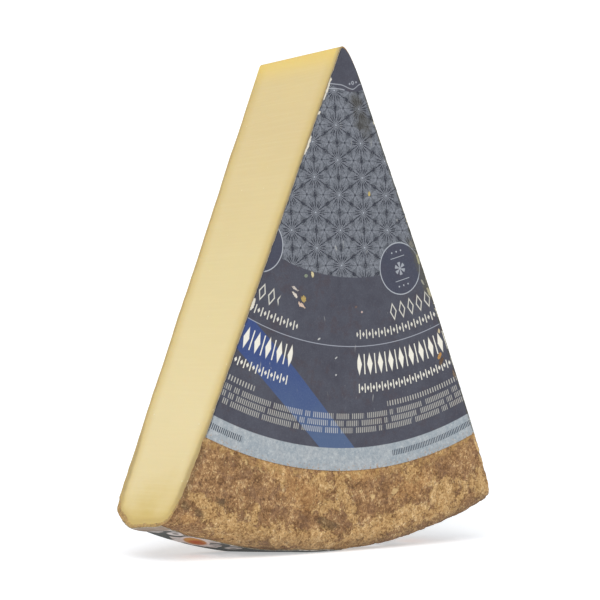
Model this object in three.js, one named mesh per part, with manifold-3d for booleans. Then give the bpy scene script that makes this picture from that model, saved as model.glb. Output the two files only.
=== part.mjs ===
// A wedge cut from a wheel of hard mountain cheese, standing on its heel with the point up.
// Its front is the wheel's face under a round paper label, its two sides are knife cuts,
// and its heel carries a thin printed band. Millimetres, +Z up, label face towards -Y.
import * as THREE from 'three';
import { mergeVertices } from 'three/addons/utils/BufferGeometryUtils.js';
import Module from 'manifold-3d';

// Driving dimensions of the wedge
const wheelRadius = 363.5;        // largest radius of the heel, measured from the wheel's axis
const leftAngle = THREE.MathUtils.degToRad(23.2);   // from straight down to each knife cut
const rightAngle = THREE.MathUtils.degToRad(22.9);
const tipDepth = 94.5;            // thickness of the wheel at its centre
const heelDepth = 74.5;           // and at its rim
const heelSlope = 3.8;            // the heel is that much larger at the back than at the front
const flatDepth = 0.6;            // how far the resting flat is pressed into the heel's front edge

// The rim's profile, from the label face round the heel to the back face
const faceFlatRadius = 307;       // the face is flat under the label out to here
const shoulderRadius = 344;       // then it falls back to the front corner
const shoulderDrop = 2;
const frontCornerRadius = 26;
const backCornerRadius = 12;

// The heel's corner at the left cut is swollen in front and worn off at the back
const swellHeight = 5.6;
const swellAngle = THREE.MathUtils.degToRad(4.6);   // it starts that far from the cut
const swellFront = [1, 8];        // depths over which it rises at the front
const swellBack = [46, 70];       // and over which it turns into a dip at the back
const swellDip = 1.5;

// The blunt point: how far below the sharp point each cut ends
const tipCutLeft = 14;
const tipCutRight = 48;
const tipOverlap = 0.6;           // the rounding starts that far outside the cuts
const tipSlope = 0.008;           // the blunt point falls that steeply towards the back

// The paper label, a sector of a round sheet stuck on slightly off the wheel's centre
const labelRadius = 296;
const labelOffsetX = 2.9;
const labelOffsetZ = -7.2;
const labelThickness = 0.3;
const labelInset = 0.5;           // its cut edges stay this far inside the cheese
const labelGap = 0.2;

// The printed band, as wide as the heel is straight
const bandFront = shoulderDrop + frontCornerRadius;
const bandBack = heelDepth - backCornerRadius;
const bandThickness = 0.35;
const bandGap = 0.2;
const bandBedEdge = 4;            // beside the band, the cheese comes down to the floor over this width

// The rind's relief: coarse lumps with finer crags on them
const lumpHeight = 0.8;
const lumpSize = 13;
const cragHeight = 0.55;
const cragSize = 6;
const backLumpHeight = 0.8;       // the back face has only broad, low lumps
const backLumpSize = 34;
const reliefFade = 8;             // width over which the relief dies out next to a smooth part

// Mesh fineness
const columns = 48;
const rimStep = 5.5;
const backStep = 13;
const arcSegments = 40;
const weldDistance = 1e-4;

const frontHeelRadius = wheelRadius - heelSlope;
const bandStack = bandThickness + bandGap;
const apexHeight = frontHeelRadius + bandStack - flatDepth;

// Repeatable random value in 0..1 for a grid corner
function cornerValue(i, j, k) {
  const s = Math.sin(i * 127.1 + j * 311.7 + k * 74.7) * 43758.5453;
  return s - Math.floor(s);
}

// Smooth noise in -1..1 that varies over about one unit
function noise(x, y, z) {
  const i = Math.floor(x);
  const j = Math.floor(y);
  const k = Math.floor(z);
  const ease = (t) => t * t * (3 - 2 * t);
  const u = ease(x - i);
  const v = ease(y - j);
  const w = ease(z - k);
  let sum = 0;
  for (const di of [0, 1]) {
    for (const dj of [0, 1]) {
      for (const dk of [0, 1]) {
        const weight = (di ? u : 1 - u) * (dj ? v : 1 - v) * (dk ? w : 1 - w);
        sum += weight * cornerValue(i + di, j + dj, k + dk);
      }
    }
  }
  return 2 * sum - 1;
}

// Height of the rind's relief at a point of the surface
function relief(p) {
  const lumps = noise(p.x / lumpSize, p.y / lumpSize, p.z / lumpSize);
  const crags = noise(p.x / cragSize, p.y / cragSize, p.z / cragSize);
  return lumpHeight * lumps + cragHeight * crags;
}

function backRelief(p) {
  return backLumpHeight * noise(p.x / backLumpSize, p.y / backLumpSize, p.z / backLumpSize);
}

// Depth of the back face at a distance from the wheel's axis
function backDepth(radius) {
  return tipDepth + (heelDepth - tipDepth) * radius / wheelRadius;
}

// Radius of the heel at a depth behind the label face
function heelRadius(depth) {
  return frontHeelRadius + heelSlope * (depth - bandFront) / (bandBack - bandFront);
}

// How far the heel's left corner stands out from the round rim
function swell(x, depth, z) {
  const fromCut = leftAngle - Math.atan2(-x, apexHeight - z);
  const near = 1 - THREE.MathUtils.smoothstep(fromCut, 0, swellAngle);
  const front = THREE.MathUtils.smoothstep(depth, ...swellFront);
  const back = THREE.MathUtils.smoothstep(depth, ...swellBack);
  return swellHeight * near * front * (1 - swellDip * back);
}

// Samples a curve every few millimetres, without its first point
function sampled(curve, step) {
  const count = Math.max(1, Math.round(curve.getLength() / step));
  return curve.getPoints(count).slice(1);
}

// Straight line and rounded corner in the plane of radius and depth
function straight(a, b, step) {
  return sampled(new THREE.LineCurve(a, b), step);
}
function corner(a, middle, b, step) {
  return sampled(new THREE.QuadraticBezierCurve(a, middle, b), step);
}

// Half cross-section of the wheel: x is the radius, y the depth behind the label face
function wheelProfile() {
  const at = (radius, depth) => new THREE.Vector2(radius, depth);
  const backRadius = wheelRadius - backCornerRadius;
  const apexFront = at(0, 0);
  const faceEnd = at(faceFlatRadius, 0);
  const shoulder = at(shoulderRadius, shoulderDrop);
  const shoulderBend = at((faceFlatRadius + shoulderRadius) / 2, 0);
  const frontBend = at(frontHeelRadius, shoulderDrop * 2);
  const bandStart = at(heelRadius(bandFront), bandFront);
  const bandEnd = at(heelRadius(bandBack), bandBack);
  const backBend = at(wheelRadius, backDepth(wheelRadius));
  const backStart = at(backRadius, backDepth(backRadius));
  return [
    apexFront,
    faceEnd,
    ...corner(faceEnd, shoulderBend, shoulder, rimStep),
    ...corner(shoulder, frontBend, bandStart, rimStep),
    ...straight(bandStart, bandEnd, rimStep),
    ...corner(bandEnd, backBend, backStart, rimStep),
    ...straight(backStart, at(0, tipDepth), backStep),
  ];
}

// Turns a closed profile about the wheel's axis through the wedge's angle and caps both cuts
function sweptSector(profile) {
  const start = Math.PI - rightAngle;
  const lathe = new THREE.LatheGeometry(profile, columns, start, leftAngle + rightAngle);
  lathe.deleteAttribute('normal');
  lathe.deleteAttribute('uv');
  lathe.translate(0, 0, apexHeight);
  return lathe;
}

// Closes a swept sector into one solid, joining what coincides
function closedSector(lathe, profileCount, closeLoop) {
  const index = Array.from(lathe.index.array);
  const lastColumn = columns * profileCount;
  if (closeLoop) {
    for (let c = 0; c < columns; c += 1) {
      const a = (c + 1) * profileCount - 1;
      const b = c * profileCount;
      index.push(a, a + profileCount, b, b + profileCount, b, a + profileCount);
    }
  }
  const spot = lathe.attributes.position;
  const outline = (first) => Array.from({ length: profileCount }, (_, n) => {
    const radius = Math.hypot(spot.getX(first + n), spot.getZ(first + n) - apexHeight);
    return new THREE.Vector2(radius, spot.getY(first + n));
  });
  const backwards = THREE.ShapeUtils.isClockWise(outline(0));
  for (const [first, flip] of [[0, backwards], [lastColumn, !backwards]]) {
    for (const [a, b, c] of THREE.ShapeUtils.triangulateShape(outline(first), [])) {
      index.push(first + a, first + (flip ? c : b), first + (flip ? b : c));
    }
  }
  lathe.setIndex(index);
  return withoutSlivers(mergeVertices(lathe, weldDistance));
}

// Drops the triangles that merging has folded onto an edge
function withoutSlivers(geometry) {
  const kept = [];
  const index = geometry.index.array;
  for (let t = 0; t < index.length; t += 3) {
    const [a, b, c] = [index[t], index[t + 1], index[t + 2]];
    if (a !== b && b !== c && c !== a) {
      kept.push(a, b, c);
    }
  }
  geometry.setIndex(kept);
  return geometry;
}

// Signed volume of a closed mesh, positive where its faces point out
function signedVolume(geometry) {
  const spot = geometry.attributes.position;
  const index = geometry.index.array;
  const [a, b, c] = [new THREE.Vector3(), new THREE.Vector3(), new THREE.Vector3()];
  let volume = 0;
  for (let t = 0; t < index.length; t += 3) {
    a.fromBufferAttribute(spot, index[t]);
    b.fromBufferAttribute(spot, index[t + 1]);
    c.fromBufferAttribute(spot, index[t + 2]);
    volume += a.dot(b.cross(c)) / 6;
  }
  return volume;
}

// Turns a closed mesh the right way out
function facingOut(geometry) {
  if (signedVolume(geometry) < 0) {
    const index = geometry.index.array;
    for (let t = 0; t < index.length; t += 3) {
      [index[t], index[t + 1]] = [index[t + 1], index[t]];
    }
  }
  return geometry;
}

const wasm = await Module();
wasm.setup();

function toSolid(geometry) {
  facingOut(geometry);
  return new wasm.Manifold(new wasm.Mesh({
    numProp: 3,
    vertProperties: Float32Array.from(geometry.attributes.position.array),
    triVerts: Uint32Array.from(geometry.index.array),
  }));
}

function fromSolid(solid) {
  const { vertProperties, triVerts } = solid.getMesh();
  const geometry = new THREE.BufferGeometry();
  geometry.setAttribute('position', new THREE.BufferAttribute(vertProperties, 3));
  geometry.setIndex(new THREE.BufferAttribute(triVerts, 1));
  return geometry;
}

// A flat shape drawn in x and z, made as thick as depth along Y and placed with its back at y
function uprightPlate(shape, depth, y) {
  const options = { depth, bevelEnabled: false, curveSegments: arcSegments };
  const plate = new THREE.ExtrudeGeometry(shape, options);
  plate.deleteAttribute('normal');
  plate.deleteAttribute('uv');
  plate.rotateX(Math.PI / 2);
  plate.translate(0, y, 0);
  return withoutSlivers(mergeVertices(plate, weldDistance));
}

// Point on a cut plane, at a distance below the sharp point; side is -1 left, 1 right
function onCut(side, distance, inset) {
  const angle = side < 0 ? leftAngle : rightAngle;
  const x = side * distance * Math.sin(angle);
  const z = apexHeight - inset / Math.sin(angle) - distance * Math.cos(angle);
  return new THREE.Vector2(x, z);
}

// The piece of the sharp point that is missing
function tipCutter() {
  const left = onCut(-1, tipCutLeft, -tipOverlap);
  const right = onCut(1, tipCutRight, -tipOverlap);
  const point = onCut(1, 0, -tipOverlap);
  const above = apexHeight + tipCutRight;
  const shape = new THREE.Shape();
  shape.moveTo(left.x, left.y);
  shape.quadraticCurveTo(point.x, point.y, right.x, right.y);
  shape.lineTo(right.x, above);
  shape.lineTo(left.x, above);
  shape.closePath();
  const plate = uprightPlate(shape, tipDepth * 2, tipDepth * 1.5);
  plate.translate(0, 0, -apexHeight);
  plate.rotateX(-Math.atan(tipSlope));
  plate.translate(0, 0, apexHeight);
  return plate;
}

// Moves a point away from the wheel's axis
function stretchRadius(p, extra) {
  const scale = 1 + extra / Math.max(1, Math.hypot(p.x, p.z - apexHeight));
  p.set(p.x * scale, p.y, (p.z - apexHeight) * scale + apexHeight);
}

// Lowest the cheese may reach at a depth: it rests on the band, and on the floor beside it
function restHeight(depth) {
  const outsideBand = Math.max(0, bandFront - depth, depth - bandBack);
  return bandStack * Math.max(0, 1 - outsideBand / bandBedEdge);
}

// Lifts the rind's relief off the swept wedge and presses the resting flat into its heel
function shapeRind(lathe, profile) {
  const spot = lathe.attributes.position;
  const p = new THREE.Vector3();
  for (let c = 0; c <= columns; c += 1) {
    for (let n = 0; n < profile.length; n += 1) {
      const v = c * profile.length + n;
      p.fromBufferAttribute(spot, v);
      const radius = Math.hypot(p.x, p.z - apexHeight);
      const smooth = rindFade(profile[n].x, profile[n].y);
      const onHeel = THREE.MathUtils.smoothstep(radius, shoulderRadius - reliefFade, shoulderRadius);
      if (smooth > 0) {
        const before = profile[Math.max(0, n - 1)];
        const after = profile[Math.min(profile.length - 1, n + 1)];
        const along = new THREE.Vector2().subVectors(after, before).normalize();
        const onBack = profile[n].y > heelDepth - 1 && profile[n].x < wheelRadius - backCornerRadius;
        const push = (onBack ? backRelief(p) : relief(p)) * smooth;
        stretchRadius(p, along.y * push);
        p.y -= along.x * push;
      }
      stretchRadius(p, onHeel * swell(p.x, profile[n].y, p.z));
      p.z = Math.max(p.z, restHeight(profile[n].y));
      spot.setXYZ(v, p.x, p.y, p.z);
    }
  }
}

// How strongly the relief shows: none under the label, under the band or at the point
function rindFade(radius, depth) {
  const beyond = (distance) => THREE.MathUtils.smoothstep(distance, 0, reliefFade);
  if (depth < tipDepth / 2 && radius < shoulderRadius) {
    return beyond(radius - faceFlatRadius);
  }
  if (radius > shoulderRadius) {
    const outsideBand = Math.max(bandFront - depth, depth - bandBack);
    return beyond(outsideBand);
  }
  return beyond((radius - tipCutRight) / 2);
}

function wedgeGeometry() {
  const profile = wheelProfile();
  const lathe = sweptSector(profile);
  shapeRind(lathe, profile);
  const whole = toSolid(closedSector(lathe, profile.length, false));
  return fromSolid(whole.subtract(toSolid(tipCutter())));
}

// Where a cut edge of the label meets its round outer edge
function labelCorner(side, centre) {
  const start = onCut(side, 0, labelInset);
  const angle = side < 0 ? leftAngle : rightAngle;
  const along = new THREE.Vector2(side * Math.sin(angle), -Math.cos(angle));
  const offset = new THREE.Vector2().subVectors(start, centre);
  const half = offset.dot(along);
  const reach = -half + Math.sqrt(half * half - offset.lengthSq() + labelRadius * labelRadius);
  return start.addScaledVector(along, reach);
}

function labelGeometry() {
  const centre = new THREE.Vector2(labelOffsetX, apexHeight + labelOffsetZ);
  const tipLeft = onCut(-1, tipCutLeft, labelInset);
  const tipRight = onCut(1, tipCutRight, labelInset);
  const point = onCut(1, 0, labelInset);
  const [left, right] = [labelCorner(-1, centre), labelCorner(1, centre)];
  const bearing = (p) => Math.atan2(p.y - centre.y, p.x - centre.x);
  const shape = new THREE.Shape();
  shape.moveTo(tipRight.x, tipRight.y);
  shape.quadraticCurveTo(point.x, point.y, tipLeft.x, tipLeft.y);
  shape.lineTo(left.x, left.y);
  shape.absarc(centre.x, centre.y, labelRadius, bearing(left), bearing(right), false);
  shape.closePath();
  return uprightPlate(shape, labelThickness, -labelGap);
}

// The band follows the heel between two depths, on a thin layer of glue
function bandGeometry() {
  const width = bandBack - bandFront;
  const rows = Math.round(width / rimStep);
  const depths = Array.from({ length: rows + 1 }, (_, n) => bandFront + n * width / rows);
  const line = (lift) => depths.map((depth) => new THREE.Vector2(heelRadius(depth) + lift, depth));
  const inner = line(bandGap);
  const outer = line(bandStack);
  const profile = [...inner, ...outer.reverse()];
  const lathe = sweptSector(profile);
  const spot = lathe.attributes.position;
  const p = new THREE.Vector3();
  for (let v = 0; v < spot.count; v += 1) {
    p.fromBufferAttribute(spot, v);
    stretchRadius(p, swell(p.x, p.y, p.z));
    const floor = v % profile.length < inner.length ? bandThickness : 0;
    spot.setXYZ(v, p.x, p.y, Math.max(p.z, floor));
  }
  return facingOut(closedSector(lathe, profile.length, true));
}

function addPiece(group, name, geometry, color, roughness) {
  const material = new THREE.MeshStandardMaterial({ color, roughness, metalness: 0 });
  const mesh = new THREE.Mesh(geometry, material);
  mesh.name = name;
  group.add(mesh);
}

const wedge = new THREE.Group();
addPiece(wedge, 'cheese_wedge', wedgeGeometry(), 0xe3cf95, 0.6);
addPiece(wedge, 'paper_label', labelGeometry(), 0x3c4658, 0.7);
addPiece(wedge, 'heel_band', bandGeometry(), 0xcfc4bb, 0.75);

// The origin is the middle of the footprint, on the floor
const bounds = new THREE.Box3().setFromObject(wedge);
const middle = bounds.getCenter(new THREE.Vector3());
wedge.position.set(-middle.x, -middle.y, -bounds.min.z);
wedge.updateMatrixWorld(true);

export default wedge;
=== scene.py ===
import itertools
from functools import reduce
from math import cos, dist, pi, radians, sin, sqrt

import bmesh
import bpy
import numpy as np
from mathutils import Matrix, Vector, geometry


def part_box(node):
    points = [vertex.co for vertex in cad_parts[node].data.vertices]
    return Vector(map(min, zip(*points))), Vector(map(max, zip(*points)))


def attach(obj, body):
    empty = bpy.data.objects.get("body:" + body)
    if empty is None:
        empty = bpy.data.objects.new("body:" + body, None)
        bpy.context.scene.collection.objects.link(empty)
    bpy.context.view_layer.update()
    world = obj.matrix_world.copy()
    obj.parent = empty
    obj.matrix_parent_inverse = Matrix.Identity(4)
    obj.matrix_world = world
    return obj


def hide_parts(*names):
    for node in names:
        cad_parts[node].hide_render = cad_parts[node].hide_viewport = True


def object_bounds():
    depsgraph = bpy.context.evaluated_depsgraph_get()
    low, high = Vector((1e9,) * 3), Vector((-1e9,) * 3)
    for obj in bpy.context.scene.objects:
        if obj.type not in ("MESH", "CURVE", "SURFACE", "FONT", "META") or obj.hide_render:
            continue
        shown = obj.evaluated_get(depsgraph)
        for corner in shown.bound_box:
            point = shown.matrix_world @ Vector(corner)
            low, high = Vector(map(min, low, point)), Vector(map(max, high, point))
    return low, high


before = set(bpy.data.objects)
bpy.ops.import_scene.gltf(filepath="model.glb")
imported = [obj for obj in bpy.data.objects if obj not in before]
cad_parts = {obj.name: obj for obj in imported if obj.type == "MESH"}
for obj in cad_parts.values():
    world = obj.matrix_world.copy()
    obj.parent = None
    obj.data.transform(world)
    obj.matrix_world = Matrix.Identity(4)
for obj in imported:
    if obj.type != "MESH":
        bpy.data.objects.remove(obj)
cad_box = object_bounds()
scene = bpy.context.scene
MM = 0.001

# The wedge, as it is in the CAD
WHEEL_RADIUS = 363.5
LEFT_ANGLE = radians(23.2)
RIGHT_ANGLE = radians(22.9)
TIP_DEPTH = 94.5
HEEL_DEPTH = 74.5
HEEL_SLOPE = 3.8
FLAT_DEPTH = 0.6
FACE_FLAT_RADIUS = 307
SHOULDER_RADIUS = 344
SHOULDER_DROP = 2
FRONT_CORNER_RADIUS = 26
BACK_CORNER_RADIUS = 12
TIP_CUT_LEFT = 14
TIP_CUT_RIGHT = 48
TIP_SLOPE = 0.008
SWELL_HEIGHT = 5.6
SWELL_ANGLE = radians(4.6)
SWELL_FRONT = (1, 8)
SWELL_BACK = (46, 70)
SWELL_DIP = 1.5
BAND_FRONT = SHOULDER_DROP + FRONT_CORNER_RADIUS
BAND_BACK = HEEL_DEPTH - BACK_CORNER_RADIUS
BAND_THICKNESS = 0.35
BAND_GAP = 0.2
BAND_STACK = BAND_THICKNESS + BAND_GAP
BAND_BED_EDGE = 4
FRONT_HEEL_RADIUS = WHEEL_RADIUS - HEEL_SLOPE
APEX_Z = FRONT_HEEL_RADIUS + BAND_STACK - FLAT_DEPTH

# The paper label
LABEL_RADIUS = 296
LABEL_X = 2.9
LABEL_Z = APEX_Z - 7.2
LABEL_THICKNESS = 0.3
LABEL_GAP = 0.2
LABEL_INSET = 0.5


def label_reach(angle):
    """Distance to the label's round edge from where its cut edges meet, and that point's drop."""
    drop = LABEL_INSET / np.sin((LEFT_ANGLE + RIGHT_ANGLE) / 2)
    start_x, start_z = -LABEL_X, APEX_Z - drop - LABEL_Z
    half = start_x * np.sin(angle) - start_z * np.cos(angle)
    return -half + np.sqrt(half**2 - start_x**2 - start_z**2 + LABEL_RADIUS**2), drop


# Where the local millimetres lie in the frame: the label is alike in both
LABEL_FACE_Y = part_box("paper_label")[1].y / MM + LABEL_GAP
LABEL_RIGHT_X = label_reach(RIGHT_ANGLE)[0] * sin(RIGHT_ANGLE)
MIDDLE_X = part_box("paper_label")[1].x / MM - LABEL_RIGHT_X

# How far each knife cut bows out of its plane, in millimetres
RIGHT_BOW = 1.6
RIGHT_BOW_AT = 195
RIGHT_BOW_REACH = 140
RIGHT_END = (290, 335)
RIGHT_END_DIP = 0.6
LEFT_HOLLOW = 0.4
LEFT_HOLLOW_START = (230, 170)

# The printed band's uneven front edge: degrees from the middle of the heel and depth there
BAND_EDGE = [
    (-23.2, 14), (-22, 15), (-19.4, 31), (-17.8, 36), (-15.7, 28), (-9.5, 27),
    (-7.5, 17), (-5, 13), (-1, 13), (1.5, 19), (3, 28), (22.9, 28),
]

# Print on the label, most of it placed by its distance from the label's centre
STAR_FIELD = (34, 163)
STAR_SPACING = 24.28
STAR_TURN = radians(2.27)
STAR_PLACE = (-7.2, APEX_Z - 89.3)
BADGE_PLACE = 161.9
BADGE_RADIUS = 18.2
BADGE_TURNS = (radians(16.25), radians(-28))
ARC_RULE = 210.7
PALE_RING = 280.3
BLOCK_MIDDLE = radians(16.8)
PRINT_REPEAT = radians(45)
RIBBON_LEFT_SIDE = ((-91.8, 138.9), (-24.3, 73.2))
RIBBON_RIGHT_SIDE = ((-93.7, 172.4), (-46, 127.6), (5.4, 72.9))

# Relief of the rind and of the paper, in millimetres
LUMP_HEIGHT = 0.8
LUMP_SIZE = 13
CRAG_HEIGHT = 0.55
CRAG_SIZE = 6
SCAB_HEIGHT = 0.45
SCAB_SIZE = 5
GRAIN_HEIGHT = 0.4
GRAIN_SIZE = 2.2
BACK_LUMP_HEIGHT = 0.8
BACK_LUMP_SIZE = 34
RELIEF_FADE = 8
PEAK_START = 0.35
PEAK_SHARE = 0.3
WRINKLE_HEIGHT = 0.09
WRINKLE_SIZE = 9
CREASE_HEIGHT = 0.05
CREASE_SIZE = 3.5
LABEL_TATTER = 0.35
BAND_TATTER = 0.6
TATTER_SIZE = 2.5

# Mesh fineness
FINE_COLUMNS = 304
COARSE_COLUMNS = 76
FINE_STEP = 0.88
COARSE_STEP = 8
BACK_STEP = 3.2
CUT_STEP = 4
LABEL_ROWS, LABEL_COLUMNS = 200, 120
BAND_ROWS, BAND_COLUMNS = 36, 240

# The camera in local millimetres, and how it is turned in degrees
CAMERA_PLACE = (-822.4, -1025.15, 125)
CAMERA_TURN = (92.135, 0.244, -37.336)
CAMERA_LENS = 114.36
SENSOR_WIDTH = 36

# Light and floor
SKY_LIGHT = 0.42
BACKDROP = 1.2
FLOOR_GLOW = 0.44
FLOOR_SIZE = 24
WHITE = (1, 1, 1, 1)

PASTE, RIND = 0, 1
SHARP_ANGLE = radians(55)


def corner_value(i, j, k):
    """Repeatable random value in 0..1 for grid corners."""
    s = np.sin(i * 127.1 + j * 311.7 + k * 74.7) * 43758.5453
    return s - np.floor(s)


def noise(points):
    """Smooth noise in -1..1 that varies over about one unit."""
    cell = np.floor(points)
    share = points - cell
    share = share * share * (3 - 2 * share)
    total = 0
    for corner in itertools.product((0, 1), repeat=3):
        weight = np.where(corner, share, 1 - share).prod(axis=-1)
        total = total + weight * corner_value(*np.moveaxis(cell + corner, -1, 0))
    return 2 * total - 1


def smoothstep(x, low, high):
    """0 at low, 1 at high and smooth between, whichever is greater."""
    t = np.clip((x - low) / (high - low), 0, 1)
    return t * t * (3 - 2 * t)


def bump(x, centre, reach):
    """1 at the centre, falling smoothly to 0 at that reach."""
    return smoothstep(np.abs(x - centre), reach, 0)


def rind_relief(p):
    """Lumps and crags as in the CAD, with scabs and grain on them, and no high peaks."""
    lumps = LUMP_HEIGHT * noise(p / LUMP_SIZE) + CRAG_HEIGHT * noise(p / CRAG_SIZE)
    scabs = smoothstep(noise(p / SCAB_SIZE + 31), -0.05, 0.25) - 0.5
    grain = noise(p / GRAIN_SIZE + 57) + 0.6 * noise(p / (GRAIN_SIZE / 2) + 83)
    relief = lumps + SCAB_HEIGHT * scabs + GRAIN_HEIGHT * grain
    return np.where(relief > PEAK_START, PEAK_START + (relief - PEAK_START) * PEAK_SHARE, relief)


def back_relief(p):
    """Broad lumps of the back, with small ones on them."""
    broad = BACK_LUMP_HEIGHT * noise(p / BACK_LUMP_SIZE)
    return broad + 0.25 * noise(p / CRAG_SIZE) + 0.2 * noise(p / SCAB_SIZE + 31)


def tip_radius(angle, depth):
    """Distance from the sharp point to the blunt one along each direction of the wedge."""
    from_cuts = np.sin([RIGHT_ANGLE - angle, LEFT_ANGLE + angle])
    left, right = np.clip(from_cuts / sin(LEFT_ANGLE + RIGHT_ANGLE), 0, None)
    front = 1 / (np.sqrt(left / TIP_CUT_LEFT) + np.sqrt(right / TIP_CUT_RIGHT)) ** 2
    return front + TIP_SLOPE * depth


def back_depth(radius):
    return TIP_DEPTH + (HEEL_DEPTH - TIP_DEPTH) * radius / WHEEL_RADIUS


def back_point(radius):
    return (radius, back_depth(radius))


def heel_radius(depth):
    return FRONT_HEEL_RADIUS + HEEL_SLOPE * (depth - BAND_FRONT) / (BAND_BACK - BAND_FRONT)


def front_corner(step):
    """Radius and depth along the round corner between the wheel's face and its heel."""
    start = (SHOULDER_RADIUS, SHOULDER_DROP)
    return bend(start, (FRONT_HEEL_RADIUS, SHOULDER_DROP * 2), (FRONT_HEEL_RADIUS, BAND_FRONT), step)


def rim_radius(depth):
    """Distance from the axis to the front corner or the heel, by depth."""
    corner = front_corner(FINE_STEP)
    return np.where(depth < BAND_FRONT, np.interp(depth, corner[:, 1], corner[:, 0]), heel_radius(depth))


def band_start(angle):
    """Depth of the printed band's front edge in each direction of the wedge."""
    degrees, depths = zip(*BAND_EDGE)
    return np.interp(np.degrees(angle), degrees, depths)


def rest_height(depth):
    """How high the cheese stays off the floor: by the band's stack over it, and not at all beside it."""
    outside_band = np.maximum(BAND_FRONT - depth, depth - BAND_BACK)
    return BAND_STACK * np.clip(1 - outside_band / BAND_BED_EDGE, 0, 1)


def swell(angle, depth):
    """How far the heel's left corner stands out from the round rim, as in the CAD."""
    near = smoothstep(LEFT_ANGLE + angle, SWELL_ANGLE, 0)
    dip = 1 - SWELL_DIP * smoothstep(depth, *SWELL_BACK)
    return SWELL_HEIGHT * near * smoothstep(depth, *SWELL_FRONT) * dip


def bowed(points):
    """Moves points near the two cuts out of the cuts' planes by the knife's bow."""
    x, z = points[..., 0], points[..., 2]
    radius = np.hypot(x, APEX_Z - z)
    angle = np.arctan2(x, APEX_Z - z)
    half = np.where(angle > 0, RIGHT_ANGLE, LEFT_ANGLE)
    right = RIGHT_BOW * bump(radius, RIGHT_BOW_AT, RIGHT_BOW_REACH)
    right = right - RIGHT_END_DIP * smoothstep(radius, *RIGHT_END)
    left = -LEFT_HOLLOW * smoothstep(radius, *LEFT_HOLLOW_START)
    push = np.where(angle > 0, right, left) * np.clip(np.abs(angle) / half, 0, 1.2) ** 4
    moved = points.copy()
    moved[..., 0] = x + np.sign(angle) * push * np.cos(half)
    moved[..., 2] = z + push * np.sin(half)
    return moved


def fan(count):
    """Directions spread evenly from the left cut to the right one."""
    return np.linspace(-LEFT_ANGLE, RIGHT_ANGLE, count)


def polar(angle, radius, depth):
    """Points of the wheel, from the direction, the distance to its axis and the depth."""
    x = radius * np.sin(angle)
    z = APEX_Z - radius * np.cos(angle)
    return np.stack(np.broadcast_arrays(x, depth, z), axis=-1)


def line(a, b, step):
    """Points of a straight line, without its first."""
    count = max(1, round(dist(a, b) / step))
    t = np.arange(1, count + 1)[:, None] / count
    return (1 - t) * np.array(a) + t * np.array(b)


def bend(a, middle, b, step):
    """Points of a quadratic curve, without its first."""
    length = (dist(a, middle) + dist(middle, b) + dist(a, b)) / 2
    count = max(2, round(length / step))
    t = np.arange(1, count + 1)[:, None] / count
    a, middle, b = np.array(a), np.array(middle), np.array(b)
    return (1 - t) ** 2 * a + 2 * t * (1 - t) * middle + t * t * b


def wheel_profile():
    """Radius, depth and fineness of the rows from the point down the face, heel and back."""
    face_end = (FACE_FLAT_RADIUS, 0)
    fine_from = (LABEL_RADIUS - 12, 0)
    shoulder_bend = ((FACE_FLAT_RADIUS + SHOULDER_RADIUS) / 2, 0)
    shoulder = (SHOULDER_RADIUS, SHOULDER_DROP)
    band_from = (heel_radius(BAND_FRONT), BAND_FRONT)
    band_end = (heel_radius(BAND_BACK), BAND_BACK)
    back_bend = (WHEEL_RADIUS, HEEL_DEPTH)
    back_start = back_point(WHEEL_RADIUS - BACK_CORNER_RADIUS)
    coarse_from = back_point(WHEEL_RADIUS - 45)
    parts = [
        (np.array([[0, 0]]), False),
        (line((0, 0), fine_from, COARSE_STEP), False),
        (line(fine_from, face_end, FINE_STEP), True),
        (bend(face_end, shoulder_bend, shoulder, FINE_STEP), True),
        (front_corner(FINE_STEP), True),
        (line(band_from, band_end, FINE_STEP * 1.5), True),
        (bend(band_end, back_bend, back_start, FINE_STEP), True),
        (line(back_start, coarse_from, FINE_STEP * 1.5), True),
        (line(coarse_from, back_point(0), BACK_STEP), False),
    ]
    rows = np.concatenate([points for points, fine in parts])
    fine = np.concatenate([np.full(len(points), fine) for points, fine in parts])
    return rows, fine


def relief_share(points, angle, radius, depth, on_back):
    """How strongly the relief shows: none under the label, under the band or at the point."""
    if on_back:
        return smoothstep(radius, TIP_CUT_RIGHT, TIP_CUT_RIGHT + 2 * RELIEF_FADE)
    from_label = np.hypot(points[:, 0] - LABEL_X, points[:, 2] - LABEL_Z) - LABEL_RADIUS
    beside_label = smoothstep(from_label, 0.4, 4)
    outside_band = np.maximum(np.minimum(band_start(angle), BAND_FRONT) - depth, depth - BAND_BACK)
    beside_band = smoothstep(outside_band, 0, RELIEF_FADE)
    return np.where(radius > SHOULDER_RADIUS, beside_band, beside_label)


def cheese_rows():
    """All rows of points round the wedge's section, the blunt point's own surface last."""
    profile, fine = wheel_profile()
    along = np.gradient(profile, axis=0)
    along /= np.linalg.norm(along, axis=1)[:, None]
    rows = []
    for n, (base, depth) in enumerate(profile):
        columns = FINE_COLUMNS if fine[n] else COARSE_COLUMNS
        angle = fan(columns + 1)
        on_back = depth > HEEL_DEPTH - 0.5 and base < WHEEL_RADIUS - BACK_CORNER_RADIUS
        inner = tip_radius(angle, depth) * max(0, 1 - base / FACE_FLAT_RADIUS)
        radius = base + inner
        level = back_depth(radius) if on_back else np.full_like(radius, depth)
        points = polar(angle, radius, level)
        relief = back_relief(points) if on_back else rind_relief(points)
        push = relief * relief_share(points, angle, radius, depth, on_back)
        heel = smoothstep(radius, SHOULDER_RADIUS - RELIEF_FADE, SHOULDER_RADIUS)
        radius = radius + along[n, 1] * push + heel * swell(angle, depth)
        points = polar(angle, radius, level - along[n, 0] * push)
        rows.append(points)
    angle = fan(COARSE_COLUMNS + 1)
    steps = round(TIP_DEPTH / CUT_STEP)
    for k in range(steps - 1, 0, -1):
        radius = tip_radius(angle, TIP_DEPTH * k / steps)
        rows.append(polar(angle, radius, back_depth(radius) * k / steps))
    return rows, len(profile)


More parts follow.
